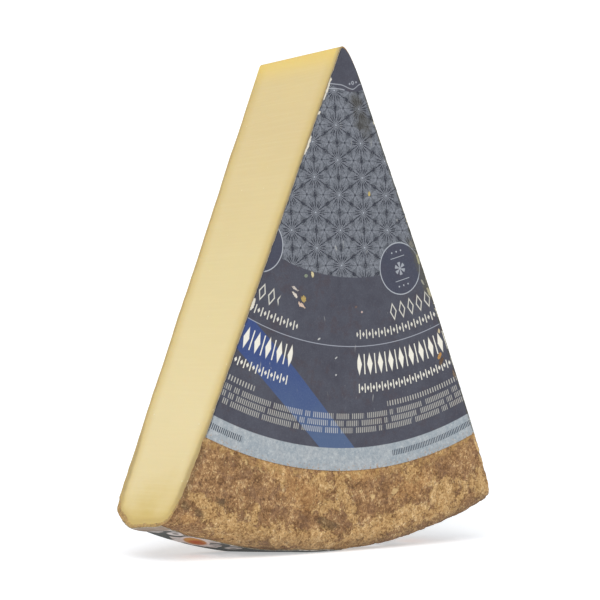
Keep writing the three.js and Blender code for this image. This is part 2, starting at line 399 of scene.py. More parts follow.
def strip_faces(first, second, first_count, second_count):
    """Faces between two rows of vertices, each given by its first vertex and column count."""
    if first_count == second_count:
        return [(first + c, first + c + 1, second + c + 1, second + c) for c in range(first_count)]
    if first_count > second_count:
        return [face[::-1] for face in strip_faces(second, first, second_count, first_count)]
    ratio = second_count // first_count
    faces = []
    for c in range(first_count):
        far = [second + c * ratio + k for k in range(ratio, -1, -1)]
        faces.append((first + c, first + c + 1, *far))
    return faces


def distance_to_line(points, way):
    """Shortest distance from each point to a line of points."""
    start, across = way[:-1], np.diff(way, axis=0)
    offset = points[:, None] - start
    length = np.maximum((across**2).sum(axis=1), 1e-9)
    t = np.clip((offset * across).sum(axis=2) / length, 0, 1)
    return np.linalg.norm(offset - t[..., None] * across, axis=2).min(axis=1)


def inside_outline(points, outline):
    """Which points lie inside a closed outline."""
    (ax, ay), (bx, by) = outline.T, np.roll(outline, -1, axis=0).T
    x, y = points.T[..., None]
    height = np.where(by == ay, 1e-9, by - ay)
    crosses = ((ay > y) != (by > y)) & (x < ax + (bx - ax) / height * (y - ay))
    return crosses.sum(axis=1) % 2 == 1


def cut_surface(outline, rind_count):
    """Triangles that fill one knife cut: its inner points, their distance to the rind, the faces."""
    low, high = outline.min(0), outline.max(0)
    grid = []
    for n, r in enumerate(np.arange(low[0], high[0], CUT_STEP * 0.87)):
        shift = CUT_STEP / 2 * (n % 2)
        grid += [(r, d) for d in np.arange(low[1] + shift, high[1], CUT_STEP)]
    grid = np.array(grid)
    grid = grid[inside_outline(grid, outline)]
    closed = np.concatenate([outline, outline[:1]])
    grid = grid[distance_to_line(grid, closed) > CUT_STEP * 0.35]
    gap = distance_to_line(grid, outline[:rind_count])
    vertices = [Vector(p) for p in np.concatenate([outline, grid])]
    loop = list(range(len(outline)))
    result = geometry.delaunay_2d_cdt(vertices, [], [loop], 1, 1e-6)
    source = [origin[0] for origin in result[3]]
    faces = [tuple(source[v] for v in face) for face in result[2]]
    return grid, gap, faces


def cheese_mesh():
    """Points, faces, materials and rind distance of the whole wedge."""
    rows, rind_count = cheese_rows()
    counts = [len(row) - 1 for row in rows]
    first = np.concatenate([[0], np.cumsum([len(row) for row in rows])])[:-1].tolist()
    points = [np.concatenate(rows)]
    faces, materials = [], []
    for n in range(len(rows)):
        after = (n + 1) % len(rows)
        strip = strip_faces(first[n], first[after], counts[n], counts[after])
        faces += strip
        materials += [PASTE if n >= rind_count - 1 else RIND] * len(strip)
    gaps = [np.zeros(first[rind_count])]
    for row in rows[rind_count:]:
        gaps.append(np.minimum(row[:, 1], TIP_DEPTH - row[:, 1]))
    total = len(points[0])
    for side, column in ((-LEFT_ANGLE, 0), (RIGHT_ANGLE, -1)):
        edge = [f + (column % (c + 1)) for f, c in zip(first, counts)]
        spots = points[0][edge]
        outline = np.stack([np.hypot(spots[:, 0], APEX_Z - spots[:, 2]), spots[:, 1]], axis=1)
        grid, gap, triangles = cut_surface(outline, rind_count)
        names = edge + list(range(total, total + len(grid)))
        faces += [tuple(names[v] for v in face) for face in triangles]
        materials += [PASTE] * len(triangles)
        points.append(polar(side, grid[:, 0], grid[:, 1]))
        gaps.append(gap)
        total += len(grid)
    points = bowed(np.concatenate(points))
    points[:, 2] = np.maximum(points[:, 2], rest_height(points[:, 1]))
    return points, faces, materials, np.concatenate(gaps)


def in_frame(points):
    """Local millimetres to metres in the part's own frame."""
    return (points + np.array([MIDDLE_X, LABEL_FACE_Y, 0])) * MM


def new_object(name, data):
    """A new object in the scene."""
    made = bpy.data.objects.new(name, data)
    scene.collection.objects.link(made)
    return made


def add_piece(name, points, faces, materials, face_materials):
    """A closed mesh piece, kept in the CAD's box, that rides on the wedge's one body."""
    mesh = bpy.data.meshes.new(name)
    inside_cad_box = np.clip(in_frame(points), *np.array(cad_box))
    mesh.from_pydata(inside_cad_box.tolist(), [], faces)
    for material in materials:
        mesh.materials.append(material)
    mesh.polygons.foreach_set("material_index", face_materials)
    work = bmesh.new()
    work.from_mesh(mesh)
    bmesh.ops.recalc_face_normals(work, faces=work.faces)
    work.to_mesh(mesh)
    work.free()
    mesh.shade_smooth()
    mesh.set_sharp_from_angle(angle=SHARP_ANGLE)
    piece = new_object(name, mesh)
    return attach(piece, "root")


def grid_slab(front, back):
    """Closed slab between two equal grids of points; its first faces are the front's."""
    rows, columns = front.shape[:2]
    shift = rows * columns
    points = np.concatenate([front.reshape(-1, 3), back.reshape(-1, 3)])
    names = np.arange(shift).reshape(rows, columns)
    corners = (names[:-1, :-1], names[:-1, 1:], names[1:, 1:], names[1:, :-1])
    front_faces = np.stack(corners, axis=-1).reshape(-1, 4)
    back_faces = front_faces[:, ::-1] + shift
    rim = np.concatenate([names[0], names[1:, -1], names[-1, -2::-1], names[-2:0:-1, 0]])
    after = np.roll(rim, -1)
    sides = np.stack([after, rim, rim + shift, after + shift], axis=-1)
    return points, front_faces.tolist(), np.concatenate([back_faces, sides]).tolist()


def label_points(depth):
    """Grid of points over the paper label, seen as a fan from its point."""
    angle = fan(LABEL_COLUMNS)[None, :]
    reach, drop = label_reach(angle)
    inner = tip_radius(angle, 0)
    radius = inner + (reach - inner) * np.linspace(0, 1, LABEL_ROWS)[:, None]
    points = polar(angle, radius, depth)
    points[..., 2] -= drop
    return bowed(points)


def label_mesh():
    """The paper label, slightly wrinkled, its two cut edges uneven."""
    front = label_points(-LABEL_GAP - LABEL_THICKNESS)
    near_edge = np.abs(np.linspace(-1, 1, LABEL_COLUMNS)) ** 12
    front[..., 0] += LABEL_TATTER * near_edge * noise(front / TATTER_SIZE)
    back = front.copy()
    back[..., 1] = -LABEL_GAP
    wrinkles = WRINKLE_HEIGHT * noise(front / WRINKLE_SIZE)
    wrinkles += CREASE_HEIGHT * noise(front / CREASE_SIZE + 11)
    front[..., 1] -= np.abs(wrinkles)
    return grid_slab(front, back)


def band_mesh():
    """The printed band round the heel, pressed flat where the wedge stands on it."""
    angle = fan(BAND_COLUMNS)[None, :]
    share = np.linspace(0, 1, BAND_ROWS)[:, None]
    depth = band_start(angle) + (BAND_BACK - band_start(angle)) * share
    flat = polar(angle, rim_radius(depth), depth)
    tatters = BAND_TATTER * noise(flat / 7) + LABEL_TATTER * noise(flat / TATTER_SIZE)
    depth = depth + tatters * (1 - share) ** 8
    radius = rim_radius(depth) + BAND_STACK + swell(angle, depth)
    outer = bowed(polar(angle, radius, depth))
    inner = bowed(polar(angle, radius - BAND_THICKNESS, depth))
    outer[..., 2] = np.maximum(outer[..., 2], 0)
    inner[..., 2] = np.maximum(inner[..., 2], BAND_THICKNESS)
    return grid_slab(outer, inner)


def srgb(code):
    """Linear colour of a screen colour written as #rrggbb."""
    shares = [int(code[n:n + 2], 16) / 255 for n in (1, 3, 5)]
    linear = [c / 12.92 if c <= 0.04045 else ((c + 0.055) / 1.055) ** 2.4 for c in shares]
    return (*linear, 1)


def operation(name):
    """A Field method that adds one Math node."""
    return lambda field, *others: field.paint.math(name, field, *others)


class Field:
    """A number that varies over a surface. Arithmetic on it adds Math nodes."""

    def __init__(self, paint, socket):
        self.paint = paint
        self.socket = socket

    __add__ = operation("ADD")
    __sub__ = operation("SUBTRACT")
    __mul__ = operation("MULTIPLY")
    __truediv__ = operation("DIVIDE")
    __gt__ = operation("GREATER_THAN")
    __lt__ = operation("LESS_THAN")
    __abs__ = operation("ABSOLUTE")
    least = operation("MINIMUM")
    most = operation("MAXIMUM")
    sine = operation("SINE")
    cosine = operation("COSINE")
    direction = operation("ARCTAN2")
    power = operation("POWER")
    root = operation("SQRT")

    def __rsub__(self, other):
        return self.paint.math("SUBTRACT", other, self)

    def wrapped(self, period):
        """Repeats the number between minus and plus half a period."""
        return self.paint.math("WRAP", self, period / 2, -period / 2)

    def clamped(self):
        return self.least(1).most(0)

    def rise(self, low, high):
        """0 at low, 1 at high and smooth between, whichever is greater."""
        ends = (low, high, 0, 1) if low < high else (high, low, 1, 0)
        inputs = dict(enumerate((self, *ends)))
        node = self.paint.node("MapRange", inputs, interpolation_type="SMOOTHSTEP")
        return Field(self.paint, node.outputs[0])

    def within(self, edge, soft=0.15):
        """1 where the number is under an edge, with a soft border."""
        return self.rise(edge + soft, edge - soft)

    def band(self, low, high, soft=0.15):
        """1 between two numbers."""
        middle, half = (low + high) / 2, (high - low) / 2
        return abs(self - middle).within(half, soft)


def distance(across, up):
    """Length of a step that goes across and up."""
    return (across * across + up * up).root()


def turned(x, z, angle):
    """The same place along axes turned by an angle."""
    c, s = cos(angle), sin(angle)
    return x * c + z * s, z * c - x * s


class Paint:
    """One procedural material and short calls for its nodes."""

    def __init__(self, name, roughness, shine=0.2):
        self.material = bpy.data.materials.new(name)
        self.material.use_nodes = True
        self.tree = self.material.node_tree
        self.shader = self.tree.nodes["Principled BSDF"]
        self.shader.inputs["Roughness"].default_value = roughness
        self.shader.inputs["Specular IOR Level"].default_value = shine
        spot = self.node("TexCoord").outputs["Object"]
        local = (-MIDDLE_X, -LABEL_FACE_Y, 0)
        self.spot = self.vector("MULTIPLY_ADD", spot, [1 / MM] * 3, local)
        apart = self.node("SeparateXYZ", {0: self.spot})
        self.x, self.depth, self.z = (Field(self, socket) for socket in apart.outputs)

    def node(self, kind, inputs=None, **settings):
        """A new node with its settings and what feeds its inputs, by their names or numbers."""
        node = self.tree.nodes.new("ShaderNode" + kind)
        for name, value in settings.items():
            setattr(node, name, value)
        for key, value in (inputs or {}).items():
            self.feed(node.inputs[key], value)
        return node

    def feed(self, socket, value):
        """Gives a socket a constant, a varying number or another socket."""
        if isinstance(value, Field):
            value = value.socket
        if isinstance(value, bpy.types.NodeSocket):
            self.tree.links.new(value, socket)
        else:
            socket.default_value = value

    def math(self, operation, *values):
        node = self.node("Math", dict(enumerate(values)), operation=operation)
        return Field(self, node.outputs[0])

    def vector(self, operation, *values):
        return self.node("VectorMath", dict(enumerate(values)), operation=operation).outputs[0]

    def moved(self, stretch, seed):
        """The surface's coordinates, squeezed along each axis and shifted by a seed."""
        shift = (seed * 17.3, seed * 5.1, seed * 11.7)
        return self.vector("MULTIPLY_ADD", self.spot, [1 / s for s in stretch], shift)

    def noise(self, size, seed=0, detail=2, rough=0.5, stretch=(1, 1, 1), warp=0):
        """Noise round 0.5 whose blobs are about that many millimetres across."""
        inputs = {"Vector": self.moved(stretch, seed), "Scale": 1 / size}
        inputs |= {"Detail": detail, "Roughness": rough, "Distortion": warp}
        return Field(self, self.node("TexNoise", inputs).outputs[0])

    def cells(self, size, seed):
        """Distance to the nearest scattered point, in cells of that many millimetres."""
        inputs = {"Vector": self.moved((1, 1, 1), seed), "Scale": 1 / size}
        return Field(self, self.node("TexVoronoi", inputs).outputs["Distance"])

    def from_axis(self):
        """Distance to the wheel's axis."""
        return distance(APEX_Z - self.z, self.x)

    def from_cuts(self):
        """Distances to the left and to the right knife cut, their bow taken in."""
        drop = APEX_Z - self.z
        left = drop * sin(LEFT_ANGLE) + self.x * cos(LEFT_ANGLE) - LEFT_HOLLOW
        bow = abs(self.from_axis() - RIGHT_BOW_AT).rise(RIGHT_BOW_REACH, 0) * RIGHT_BOW
        right = drop * sin(RIGHT_ANGLE) - self.x * cos(RIGHT_ANGLE) + bow
        return left, right

    def near(self, spots):
        """1 in the middle of the nearest spot, 0 on its border and less outside."""
        away = []
        for x, z, long, wide, tilt in spots:
            u, v = turned(self.x - x, self.z - z, radians(tilt))
            away.append(distance(u / long, v / wide))
        return 1 - reduce(Field.least, away)

    def mix(self, share, under, over):
        """The colour under, covered by the colour over by a share from 0 to 1."""
        return self.node("Mix", {0: share, 6: under, 7: over}, data_type="RGBA").outputs[2]

    def coats(self, colour, *coats):
        """A colour under coats, each with its share and its screen or varying colour."""
        for share, over in coats:
            over = srgb(over) if isinstance(over, str) else over
            colour = self.mix(share, colour, over)
        return colour

    def ramp(self, field, *stops):
        """A colour for each value of the field, between stops with a value and a screen colour."""
        node = self.node("ValToRGB", {0: field})
        stop = node.color_ramp.elements
        while len(stop) < len(stops):
            stop.new(0.5)
        for element, (place, colour) in zip(stop, stops):
            element.position = place
            element.color = srgb(colour)
        return node.outputs[0]

    def finish(self, colour, height=None):
        """Sets the colour and the relief in millimetres."""
        self.feed(self.shader.inputs["Base Color"], colour)
        if height is not None:
            bumps = self.node("Bump", {"Strength": 1, "Distance": MM, "Height": height})
            self.feed(self.shader.inputs["Normal"], bumps.outputs[0])
        return self.material


def crust_at_cut(t, gap, uneven, heel):
    """The rind seen from its side at the heel's edges of a cut: its share, relief and colour."""
    back_corner = heel * t.depth.rise(50, 66)
    thickness = heel * 1.9 + back_corner * 2.4 + 0.1
    crust = (gap + uneven * (heel * 5 + 2) - thickness).rise(0.7, -0.3)
    earth = t.noise(3, 4, detail=5, rough=0.9)
    browns = t.ramp(
        (earth - 0.5) * 3 + 0.5,
        (0.1, "#705436"), (0.5, "#a68354"), (0.9, "#ceac74"),
    )
    return crust * (heel * 0.65 + 0.2), crust * earth * 0.5, browns


def paste_material():
    """Smooth cream paste, yellower towards the rind and the point, with crust along the rind."""
    t = Paint("cheese_paste", 0.45, 0.3)
    gap = Field(t, t.node("Attribute", attribute_name="rind_gap").outputs["Fac"])
    radius = t.from_axis()
    uneven = t.noise(7, 1, detail=4, rough=0.65) - 0.5
    cloud = t.noise(42, 2, detail=3) - 0.5
    cream = t.ramp(
        radius / WHEEL_RADIUS + cloud * 0.16,
        (0.06, "#ddc790"), (0.20, "#dbc693"), (0.50, "#e0ce9a"),
        (0.80, "#e4d3a3"), (0.91, "#e1cf9d"), (0.97, "#d9c386"),
        (1.00, "#d1b975"),
    )
    strokes = t.noise(1.6, 3, stretch=(30, 30, 1))
    edge = gap + uneven * 3
    # A soft darker olive band along the cut's rind edges, wider at the heel and fainter towards the
    # point
    olive_edge_band = (gap + uneven * 2 - radius.rise(285, 325) * 3).rise(4.4, 0)
    olive_edge_band = olive_edge_band * (radius.rise(20, 90) * 0.32 + 0.3)
    heel = radius.rise(338, 360)
    crust, crust_height, browns = crust_at_cut(t, gap, uneven, heel)
    point = radius.rise(34, 8) * t.depth.rise(2, 5)
    crystals = t.cells(11, 5).within(0.05, 0.03) * t.noise(30, 6).rise(0.45, 0.6)
    colour = t.coats(
        cream,
        ((strokes - 0.42).clamped() * 0.35, "#f0e2b6"),
        (edge.rise(14, 0.5) * 0.75, "#d1b876"),
        (olive_edge_band, "#9a835a"),
        (edge.rise(10, 2) * heel * 0.8, "#d0b570"),
        (crust, browns),
        (point * 0.75, "#eecf6e"),
        (crystals * 0.6, "#f5ecd0"),
    )
    height = strokes * 0.08 + t.noise(3, 7, detail=3) * 0.05 - crystals * 0.12 + crust_height
    t.shader.inputs["Subsurface Weight"].default_value = 0.25
    t.shader.inputs["Subsurface Radius"].default_value = (0.009, 0.006, 0.0025)
    t.shader.inputs["Subsurface Scale"].default_value = 0.6
    return t.finish(colour, height)


# Places on the rind and the label: x, z, half length, half width, tilt in degrees
BLOOM_SPOTS = [
    (-117, 37, 14, 5, -28), (-90, 20, 25, 9, -27), (-77, 31, 8, 2.6, 78), (-40, 12, 44, 7, -9),
    (-18, 31, 11, 5, 15), (-21, 49, 11, 4.5, -20), (-2, 39, 22, 4.5, -62), (38, 16, 46, 8, 14),
    (92, 34, 16, 13, 35), (59, 54, 7, 6, 0), (127, 42, 8, 10, 60),
]
BARE_SPOTS = [
    (103, 61, 19, 12, 25), (113, 32, 6, 4, 60), (26, 36, 17, 10, -10), (-104, 52, 26, 11, -28),
    (-68, 42, 22, 8, -25), (44, 12.5, 14, 3.5, 20), (-39, 27, 17, 7, -25),
    (-127, 36, 13, 4.5, -28), (-126.5, 64, 5, 2.5, 62), (-14, 25, 16, 6, -20),
]
ORANGE_SPOTS = [
    (-55, 55, 20, 7, -27), (-34, 42, 22, 13, -20), (12, 54, 20, 6, 5), (60, 46, 22, 10, 20),
    (-128, 29, 6, 4, -20),
]
PALE_SPOTS = [
    (43.6, 40.7, 3.4, 2.8, 20), (12.7, 42, 2.6, 1.8, 40), (23.2, 37.4, 1.8, 1.8, 0),
    (0.7, 52.8, 3.2, 1.6, -20), (-96, 70.5, 2.6, 1.2, -30), (-84.8, 64.6, 1.6, 2.2, 0),
    (-72.5, 58.4, 3, 1.4, -25),
]
CRACK_SPOTS = [
    (-16, 21, 15, 3.4, -20), (-128, 66, 3.5, 1, 62), (-104, 40, 5, 3, 0),
    (-132, 38, 6, 4, -35), (-121.5, 33.5, 5, 2.6, -45),
]
LABEL_STAINS = [(9, 312, 6, 7, -40), (15, 298, 13, 7, -62)]


def rind_ground(t, tone, bloom):
    """Brown crust, rusty and purple in places, under a dusty ochre bloom."""
    blush = t.noise(5, 4, detail=5, rough=0.8) - 0.5
    warm = (t.near(ORANGE_SPOTS).most(-1) * 0.7 + blush * 2.6).rise(-0.05, 0.3)
    purple = t.noise(8, 5, detail=4, rough=0.8).rise(0.46, 0.62) * (1 - warm)
    olive = t.noise(6, 6, detail=4, rough=0.8).rise(0.5, 0.64)
    crust = t.ramp(
        tone,
        (0.00, "#664930"), (0.30, "#856343"), (0.50, "#97734e"),
        (0.70, "#a8835b"), (0.90, "#c09c6e"), (1.00, "#dcbb8c"),
    )
    rusty = t.ramp(
        tone,
        (0.00, "#88613c"), (0.50, "#ae8658"), (0.80, "#c59d6a"),
        (1.00, "#e2be8a"),
    )
    bloomed = t.ramp(
        tone,
        (0.00, "#7c5c39"), (0.25, "#a68154"), (0.50, "#bc9765"),
        (0.75, "#cca875"), (0.92, "#d9b785"), (1.00, "#e8cba0"),
    )
    crust = t.coats(crust, (warm * 0.8, rusty), (purple * 0.4, "#7c604e"))
    bloomed = t.coats(bloomed, (olive * 0.2, "#9e844c"))
    return t.mix(bloom * 0.88, crust, bloomed)


def rind_material():
    """Dry crust with a bloom, pale crumbs, dark pits and a crack, and painted shade where the heel turns
    under.
    """
    t = Paint("cheese_rind", 0.9)
    left, right = t.from_cuts()
    from_label = distance(t.x - LABEL_X, LABEL_Z - t.z) - LABEL_RADIUS
    dust = (t.noise(10, 1, detail=5, rough=1) - 0.5) * 3.6
    grain = t.noise(1.2, 2, detail=1, rough=0.8, stretch=(1, 1, 1.6)) - 0.5
    tone = dust + grain * 1.1 + 0.5
    flaky = t.noise(7, 3, detail=5, rough=0.78, warp=0.3) - 0.5
    spread = t.near(BLOOM_SPOTS).most(-0.7) - t.near(BARE_SPOTS).most(-0.3) * 0.7
    bloom = (spread * 0.6 + flaky * 3.4 + dust * 0.16 + 0.03).rise(-0.02, 0.1)
    pits = (t.noise(1.7, 7, rough=0.9) - tone * 0.05).rise(0.38, 0.29)
    crack = (t.near(CRACK_SPOTS) + flaky * 4).rise(0, 0.7)
    # Painted shade: the rind is darkened, evenly and in patches, where the front corner turns under into
    # the heel
    underside_shade = t.from_axis().rise(344, 361) * t.x.rise(-105, -60)
    patchy_underside_shade = t.noise(3.4, 11, detail=4, rough=0.8).rise(0.56, 0.44) * underside_shade
    beside_paste = (left + flaky * 8).rise(5, 1) * t.z.rise(30, 42)
    strips = abs(right - 1.6).within(1, 0.5) * t.noise(3, 10, stretch=(1, 1, 3)).rise(0.42, 0.5)
    crumbs = t.cells(3.6, 8).within(0.16, 0.09) * t.noise(15, 9).rise(0.46, 0.58)
    crumbs = crumbs.most((t.near(PALE_SPOTS) + flaky * 4 + grain).rise(0, 0.6))
    crumbs = crumbs.most(strips * abs(t.z - 67).within(11, 2))
    under_label = from_label.rise(8, 1) * (flaky + 0.06).rise(0, 0.12)
    bare_edge = left.least(right).rise(1.4, 0.8) * from_label.rise(3, -3)
    colour = t.coats(
        rind_ground(t, tone, bloom),
        (pits * 0.55, "#4e3a2a"),
        (crack * 0.5, "#4a4232"),
        # painted shade on the turned-under heel, even and in patches
        (underside_shade * 0.2, "#786c60"),
        (patchy_underside_shade * 0.6, "#5e4c3c"),
        (beside_paste * 0.5, "#624c34"),
        (crumbs * 0.8, "#d8b884"),
        (under_label * 0.45, "#cea668"),
        (bare_edge, "#b09e78"),
    )
    height = tone * 0.3 + grain * 0.3 + bloom * 0.3 - pits * 0.4 - crack * 0.6 + crumbs * 0.35
    return t.finish(colour, height)


def beside_rays(reach, direction, degrees):
    """Distance to the nearest of the rays that leave a star's heart every so many degrees."""
    return abs(reach * direction.wrapped(radians(degrees)).sine())


def star_lattice(t):
    """Marks of a triangular lattice of many-rayed stars: dark ones, veins, shade and hearts."""
    column = STAR_SPACING * sqrt(3)
    half_way = STAR_SPACING / 2
    to_middle = STAR_SPACING / sqrt(3)
    drift = (t.z - 265).most(0) * 0.02
    x, z = t.x - STAR_PLACE[0] + drift, t.z - STAR_PLACE[1] + drift * 0.7
    across, up = turned(x, z, STAR_TURN)
    ax, az = across.wrapped(column), up.wrapped(STAR_SPACING)
    bx, bz = (across - column / 2).wrapped(column), (up - half_way).wrapped(STAR_SPACING)
    second = distance(bx, bz) < distance(ax, az)
    x, z = ax + (bx - ax) * second, az + (bz - az) * second
    reach = distance(x, z)
    direction = x.direction(z)
    # Lines to six neighbours, a knot half way along each and a dot in each triangle
    along = reach * direction.wrapped(radians(60)).cosine()
    aside = beside_rays(reach, direction, 60)
    lines = (aside - reach.rise(9, 2) * 0.12).within(0.36, 0.16)
    knots = distance((along - half_way) / 2.1, aside / 1.3).within(1, 0.14)
    dots = distance(along - half_way, aside - to_middle / 2).within(0.75, 0.2)
    # Dark strokes and pale rays round each heart
    breadth = (reach * 0.1).least(0.92 - reach * 0.078)
    strokes = (beside_rays(reach, direction, 20) - breadth).within(0, 0.14)
    strokes = strokes * reach.band(1.1, 8, 0.3)
    rays = beside_rays(reach, direction + radians(10), 20).within(0.16, 0.14)
    rays = rays * reach.rise(5, 3) * reach.rise(0.6, 1.4)
    # Veins from each heart to the middles of the triangles
    third = direction + radians(30)
    out = reach * third.wrapped(radians(60)).cosine()
    swelling = (out * (pi / to_middle)).sine().most(0).power(0.8) * 3
    share = beside_rays(reach, third, 60) / swelling.most(0.05)
    veins = (abs(share.wrapped(0.3)) * swelling).within(0.17, 0.13) * share.band(0.15, 1.3, 0.06)
    veins = veins * out.band(1, to_middle - 1, 0.8)
    shade = share.within(1, 0.1) * out.within(to_middle, 0.3) * out.rise(11.5, 3)
    dark = lines.most(knots).most(dots).most(strokes)
    return dark, veins, shade, reach.within(0.62, 0.4).most(rays * 0.5)


def star_field(t, cloud):
    """Grey-blue paper with the star lattice and fine speckles."""
    dark, veins, shade, hearts = star_lattice(t)
    speckle = t.noise(0.8, 14, detail=1)
    return t.coats(
        t.ramp(cloud, (0.3, "#54585f"), (0.7, "#5f6268")),
        (shade * 0.06, "#3c3f4a"),
        (veins * 0.62, "#9498a1"),
        (dark * 0.95, "#2c2e38"),
        (speckle.rise(0.45, 0.68) * 0.3, "#90939a"),
        (speckle.rise(0.5, 0.3) * 0.3, "#34363e"),
        (hearts * 0.8, "#bec3cb"),
    )


def lozenges(along, away, pitch, wide, tall, soft=0.12):
    """A row of upright lozenges; along runs with the row and away from its middle line."""
    return (abs(along.wrapped(pitch)) / wide + abs(away) / tall).within(1, soft)


def bars(along, away, pitch, wide, tall):
    """A row of short upright bars."""
    return abs(along.wrapped(pitch)).within(wide / 2, 0.12) * abs(away).within(tall / 2, 0.15)


def ornament_rows(t, reach, angle):
    """Rows of plain ornaments along arcs of the label, in blocks that repeat round it."""
    in_block = (angle - BLOCK_MIDDLE).wrapped(PRINT_REPEAT)

    def place(radius):
        """Distances along and away from an arc."""
        return in_block * radius, reach - radius

    def block(left, right):
        """1 between two directions, in degrees."""
        return in_block.band(radians(left), radians(right), 0.003)

    wide_block = abs(in_block).within(radians(15.2), 0.002)
    along, away = place(223.2)
    tall = lozenges(along, away, 9.6, 2.4, 7.6).most(bars(along + 4.8, away, 9.6, 0.9, 14))
    rows = [tall * wide_block]
    along, away = place(190)
    hollow = lozenges(along, away, 8.2, 3, 6.2) - lozenges(along, away, 8.2, 2.1, 4.6)
    rows.append(hollow.clamped() * block(-6.5, 9.5) * 0.8)
    for radius, pitch, strength in ((202.5, 5.6, 0.8), (239.8, 5.2, 0.9)):
        along, away = place(radius)
        marks = lozenges(along + pitch / 2, away, pitch, 1.1, 1.8)
        rows.append(bars(along, away, pitch, 0.9, 6.3).most(marks) * wide_block * strength)
    rows.append(bars(*place(252.6), 2.4, 0.9, 3.6) * block(-9.3, 9.3) * 0.5)
    for n, radius in enumerate((258.8, 263.7, 268.5)):
        along = angle * radius + n * 5
        words = (abs(along.wrapped(34)) > 1.4) * (abs((along - 13).wrapped(27)) > 1.2)
        rows.append(bars(along, reach - radius, 1.7, 0.8, 3.8) * words * 0.42)
    ring_marks = bars(*place(287.4), 1.6, 0.8, 4) * block(-9.35, 9.5)
    return reduce(Field.most, rows), ring_marks


def badge(t, direction):
    """A round badge's ground, and its thin ring, two rules, beads and rosette."""
    centre_x = LABEL_X + BADGE_PLACE * sin(direction)
    centre_z = LABEL_Z - BADGE_PLACE * cos(direction)
    x, z = turned(t.x - centre_x, t.z - centre_z, direction)
    reach = distance(x, z)
    ring = abs(reach - BADGE_RADIUS).within(0.36, 0.15)
    rules = abs(abs(z) - 8.2).within(0.22, 0.12) * abs(x).within(6.5, 0.2)
    beads = (abs(x.wrapped(4.2)) + abs(abs(z) - 12.2)).within(0.75, 0.15) * abs(x).within(6, 0.2)
    petals = abs((x.direction(z) * 3).cosine()).rise(0, 1)
    rosette = reach.within(4.6, 0.3) * petals.rise(0.55, 0.75)
    rosette = rosette.most(reach.within(0.9, 0.2))
    marks = ring.most(rules).most(beads).most(rosette * 0.8)
    return reach.within(BADGE_RADIUS + 0.2, 0.1), marks


def side_of(t, start, end):
    """Distance to the left of a line from start to end, in millimetres."""
    (ax, az), (bx, bz) = start, end
    return ((t.z - az) * (bx - ax) - (t.x - ax) * (bz - az)) / dist(start, end)


def ribbon(t, reach):
    """1 on the slanting ribbon, which ends at the thin arc above it."""
    inside = side_of(t, *RIBBON_LEFT_SIDE).rise(-0.25, 0.25)
    for start, end in zip(RIBBON_RIGHT_SIDE, RIBBON_RIGHT_SIDE[1:]):
        inside = inside * side_of(t, start, end).rise(0.25, -0.25)
    return inside * (reach > ARC_RULE)


def crest_lines(t):
    """A wavy double rule near the label's point, with two dots and a drop over it."""
    upper = (APEX_Z - 37) - t.x.rise(-5, 6) * 2.3 + t.x.rise(6, 13.5) * 4.2
    lower = t.x.rise(-16, -8) * 0.4 - t.x.rise(-5, 2) * 0.6 + (APEX_Z - 40.5)
    marks = abs(t.z - upper).within(0.33, 0.2)
    marks = marks.most(abs(t.z - lower).within(0.35, 0.2) * (t.x < -1))
    for x, drop, size in ((3.5, 35.8, 0.7), (6.2, 34.8, 1.3), (9.3, 34.1, 0.7)):
        dot = distance(t.x - x, t.z - (APEX_Z - drop))
        marks = marks.most(dot.within(size, 0.25) - dot.within(size - 0.7, 0.2))
    return marks


def pale_ring(t, cloud, ring_marks):
    """The label's light outer ring, mottled, with rows of small dark bars."""
    mottle = t.noise(2.6, 12, detail=4, rough=0.9)
    return t.coats(
        t.ramp(cloud, (0.3, "#929ca3"), (0.7, "#a4a8ab")),
        (mottle.rise(0.5, 0.68) * 0.75, "#828c92"),
        (mottle.rise(0.5, 0.34) * 0.75, "#babebe"),
        (ring_marks * 0.95, "#373e4b"),
    )


def label_material():
    """The printed paper: navy ground, star field, ribbon, badges, pale ring, and its wear."""
    t = Paint("label_print", 0.7)
    x, z = t.x - LABEL_X, LABEL_Z - t.z
    reach = distance(x, z)
    angle = x.direction(z)
    fibre = t.noise(1.1, 1, detail=3, rough=0.9)
    cloud = t.noise(16, 2, detail=5, rough=0.75)
    murk = t.noise(12, 8, detail=5, rough=0.75).rise(0.52, 0.66)
    navy = t.ramp(cloud, (0.3, "#42424c"), (0.5, "#494a54"), (0.7, "#4f515b"))
    navy = t.coats(navy, (murk * 0.5, "#4a4146"))
    fading = t.z / 160 + (cloud - 0.5) * 0.3
    blue = t.ramp(fading, (0.5, "#4d5f7f"), (0.85, "#394a7a"))
    light, ring_marks = ornament_rows(t, reach, angle)
    colour = t.coats(
        navy,
        (reach.band(*STAR_FIELD, 0.3), star_field(t, cloud)),
        (crest_lines(t) * 0.75, "#a8abb2"),
        (ribbon(t, reach), blue),
        (light * 0.95, "#e8e4d6"),
        (abs(reach - ARC_RULE).within(0.27, 0.15) * 0.68, "#b0b4be"),
    )
    for direction in BADGE_TURNS:
        ground, marks = badge(t, direction)
        badge_navy = t.coats(navy, (0.5, "#3e4254"))
        colour = t.coats(colour, (ground, badge_navy), (marks * 0.85, "#b0b4ba"))
    ring = reach.rise(PALE_RING, PALE_RING + 0.5)
    colour = t.coats(colour, (ring, pale_ring(t, cloud, ring_marks)))
    colour, torn = label_wear(t, colour, reach, fibre)
    height = fibre * 0.06 + t.noise(6, 9) * 0.12 - torn * 0.3
    return t.finish(colour, height)


